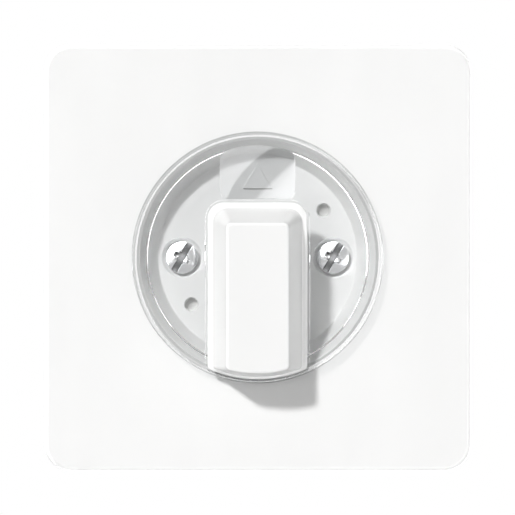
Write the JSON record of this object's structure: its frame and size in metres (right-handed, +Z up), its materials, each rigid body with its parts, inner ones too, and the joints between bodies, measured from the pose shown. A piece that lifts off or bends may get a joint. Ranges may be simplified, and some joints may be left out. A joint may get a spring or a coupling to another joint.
{
  "type": "rotary wall switch",
  "caption": "Flush-mounted rotary wall switch: square white cover, clear disc with a lens window and a white bar handle, over a steel plate and a clawed insert.",
  "frame": {"origin": "centre of the switch on the wall's surface", "axes": "+X to the right as seen from the front, +Y into the wall, +Z up"},
  "size_m": [0.07, 0.045, 0.07],
  "materials": {
    "white_plastic": "satin gloss, moulded",
    "clear_plastic": "clear, polished",
    "grey_plastic": "fine moulded texture",
    "dark_plastic": "smooth",
    "cam_plastic": "smooth",
    "bright_steel": "bright zinc",
    "zinc_steel": "zinc plated",
    "spring_steel": "bright wire and strip",
    "brass": "bright, stamped",
    "silver": "silver contact alloy"
  },
  "bodies": {
    "insert": {"cover_plate": "white_plastic", "support_plate": "zinc_steel", "bearing_plate": "grey_plastic", "housing_base": "grey_plastic", "common_bar": "brass", "cover_screw_left": "bright_steel", "fixed_contact_left": "silver", "fixed_strip_left": "brass", "pivot_pin_left": "zinc_steel", "cover_screw_right": "bright_steel", "fixed_contact_right": "silver", "fixed_strip_right": "brass", "pivot_pin_right": "zinc_steel", "detent_spring_top": "spring_steel", "detent_spring_bottom": "spring_steel", "terminal_block_1": "brass", "terminal_screw_1": "zinc_steel", "housing_screw_1": "zinc_steel", "terminal_block_2": "brass", "terminal_screw_2": "zinc_steel", "housing_screw_2": "zinc_steel", "terminal_block_3": "brass", "terminal_screw_3": "zinc_steel", "housing_screw_3": "zinc_steel", "terminal_block_4": "brass", "terminal_screw_4": "zinc_steel", "housing_screw_4": "zinc_steel"},
    "spindle": {"spindle": "zinc_steel", "spindle_circlip": "spring_steel", "index_wheel": "cam_plastic", "cam_drum": "cam_plastic"},
    "knob": {"knob_handle": "white_plastic", "knob_disc": "clear_plastic", "knob_clip": "spring_steel"},
    "plunger_top": {"detent_plunger_top": "dark_plastic"},
    "plunger_bottom": {"detent_plunger_bottom": "dark_plastic"},
    "arm_left": {"contact_arm_left": "brass", "moving_contact_left": "silver"},
    "claw_screw_left": {"claw_screw_left": "zinc_steel"},
    "claw_nut_left": {"claw_nut_left": "brass"},
    "claw_left": {"claw_left": "zinc_steel"},
    "arm_right": {"contact_arm_right": "brass", "moving_contact_right": "silver"},
    "claw_screw_right": {"claw_screw_right": "zinc_steel"},
    "claw_nut_right": {"claw_nut_right": "brass"},
    "claw_right": {"claw_right": "zinc_steel"}
  },
  "joints": [
    {"name": "knob_turn", "type": "hinge", "parent": "insert", "child": "spindle", "pos_m": [0, 0, 0], "axis": [0, 1, 0], "range_deg": [-60, 60]},
    {"name": "knob_pull", "type": "slide", "parent": "spindle", "child": "knob", "axis": [0, -1, 0], "range_m": [0, 0.022]},
    {"name": "detent_top_press", "type": "slide", "parent": "insert", "child": "plunger_top", "axis": [0, 0, -1], "range_m": [0, 0.0009], "stiffness_N_per_m": 300, "deforming": ["detent_spring_top"]},
    {"name": "detent_bottom_press", "type": "slide", "parent": "insert", "child": "plunger_bottom", "axis": [0, 0, 1], "range_m": [0, 0.0009], "stiffness_N_per_m": 300, "deforming": ["detent_spring_bottom"]},
    {"name": "contact_left_swing", "type": "hinge", "parent": "insert", "child": "arm_left", "pos_m": [-0.011, 0.0125, -0.015], "axis": [0, 1, 0], "range_deg": [-4.6, 4.6]},
    {"name": "contact_right_swing", "type": "hinge", "parent": "insert", "child": "arm_right", "pos_m": [0.011, 0.0125, -0.015], "axis": [0, 1, 0], "range_deg": [-4.6, 4.6]},
    {"name": "claw_nut_left_rise", "type": "slide", "parent": "insert", "child": "claw_nut_left", "axis": [0, -1, 0], "range_m": [0, 0.0049]},
    {"name": "claw_screw_left_turn", "type": "hinge", "parent": "insert", "child": "claw_screw_left", "pos_m": [-0.024, 0, 0], "axis": [0, 1, 0], "range_deg": [0, 2521]},
    {"name": "claw_left_spread", "type": "hinge", "parent": "insert", "child": "claw_left", "pos_m": [-0.0272, -0.0009, 0], "axis": [0, 0, 1], "range_deg": [0, 14.1]},
    {"name": "claw_nut_right_rise", "type": "slide", "parent": "insert", "child": "claw_nut_right", "axis": [0, -1, 0], "range_m": [0, 0.0049]},
    {"name": "claw_screw_right_turn", "type": "hinge", "parent": "insert", "child": "claw_screw_right", "pos_m": [0.024, 0, 0], "axis": [0, 1, 0], "range_deg": [0, 2521]},
    {"name": "claw_right_spread", "type": "hinge", "parent": "insert", "child": "claw_right", "pos_m": [0.0272, -0.0009, 0], "axis": [0, 0, -1], "range_deg": [0, 14.1]}
  ],
  "couplings": [
    {"joint": "contact_left_swing", "follows": "knob_turn", "ratio": 0.0764},
    {"joint": "contact_right_swing", "follows": "knob_turn", "ratio": 0.0764},
    {"joint": "claw_screw_left_turn", "follows": "claw_nut_left_rise", "rad_per_m": 8976},
    {"joint": "claw_left_spread", "follows": "claw_nut_left_rise", "rad_per_m": 49.867},
    {"joint": "claw_screw_right_turn", "follows": "claw_nut_right_rise", "rad_per_m": 8976},
    {"joint": "claw_right_spread", "follows": "claw_nut_right_rise", "rad_per_m": 49.867}
  ]
}
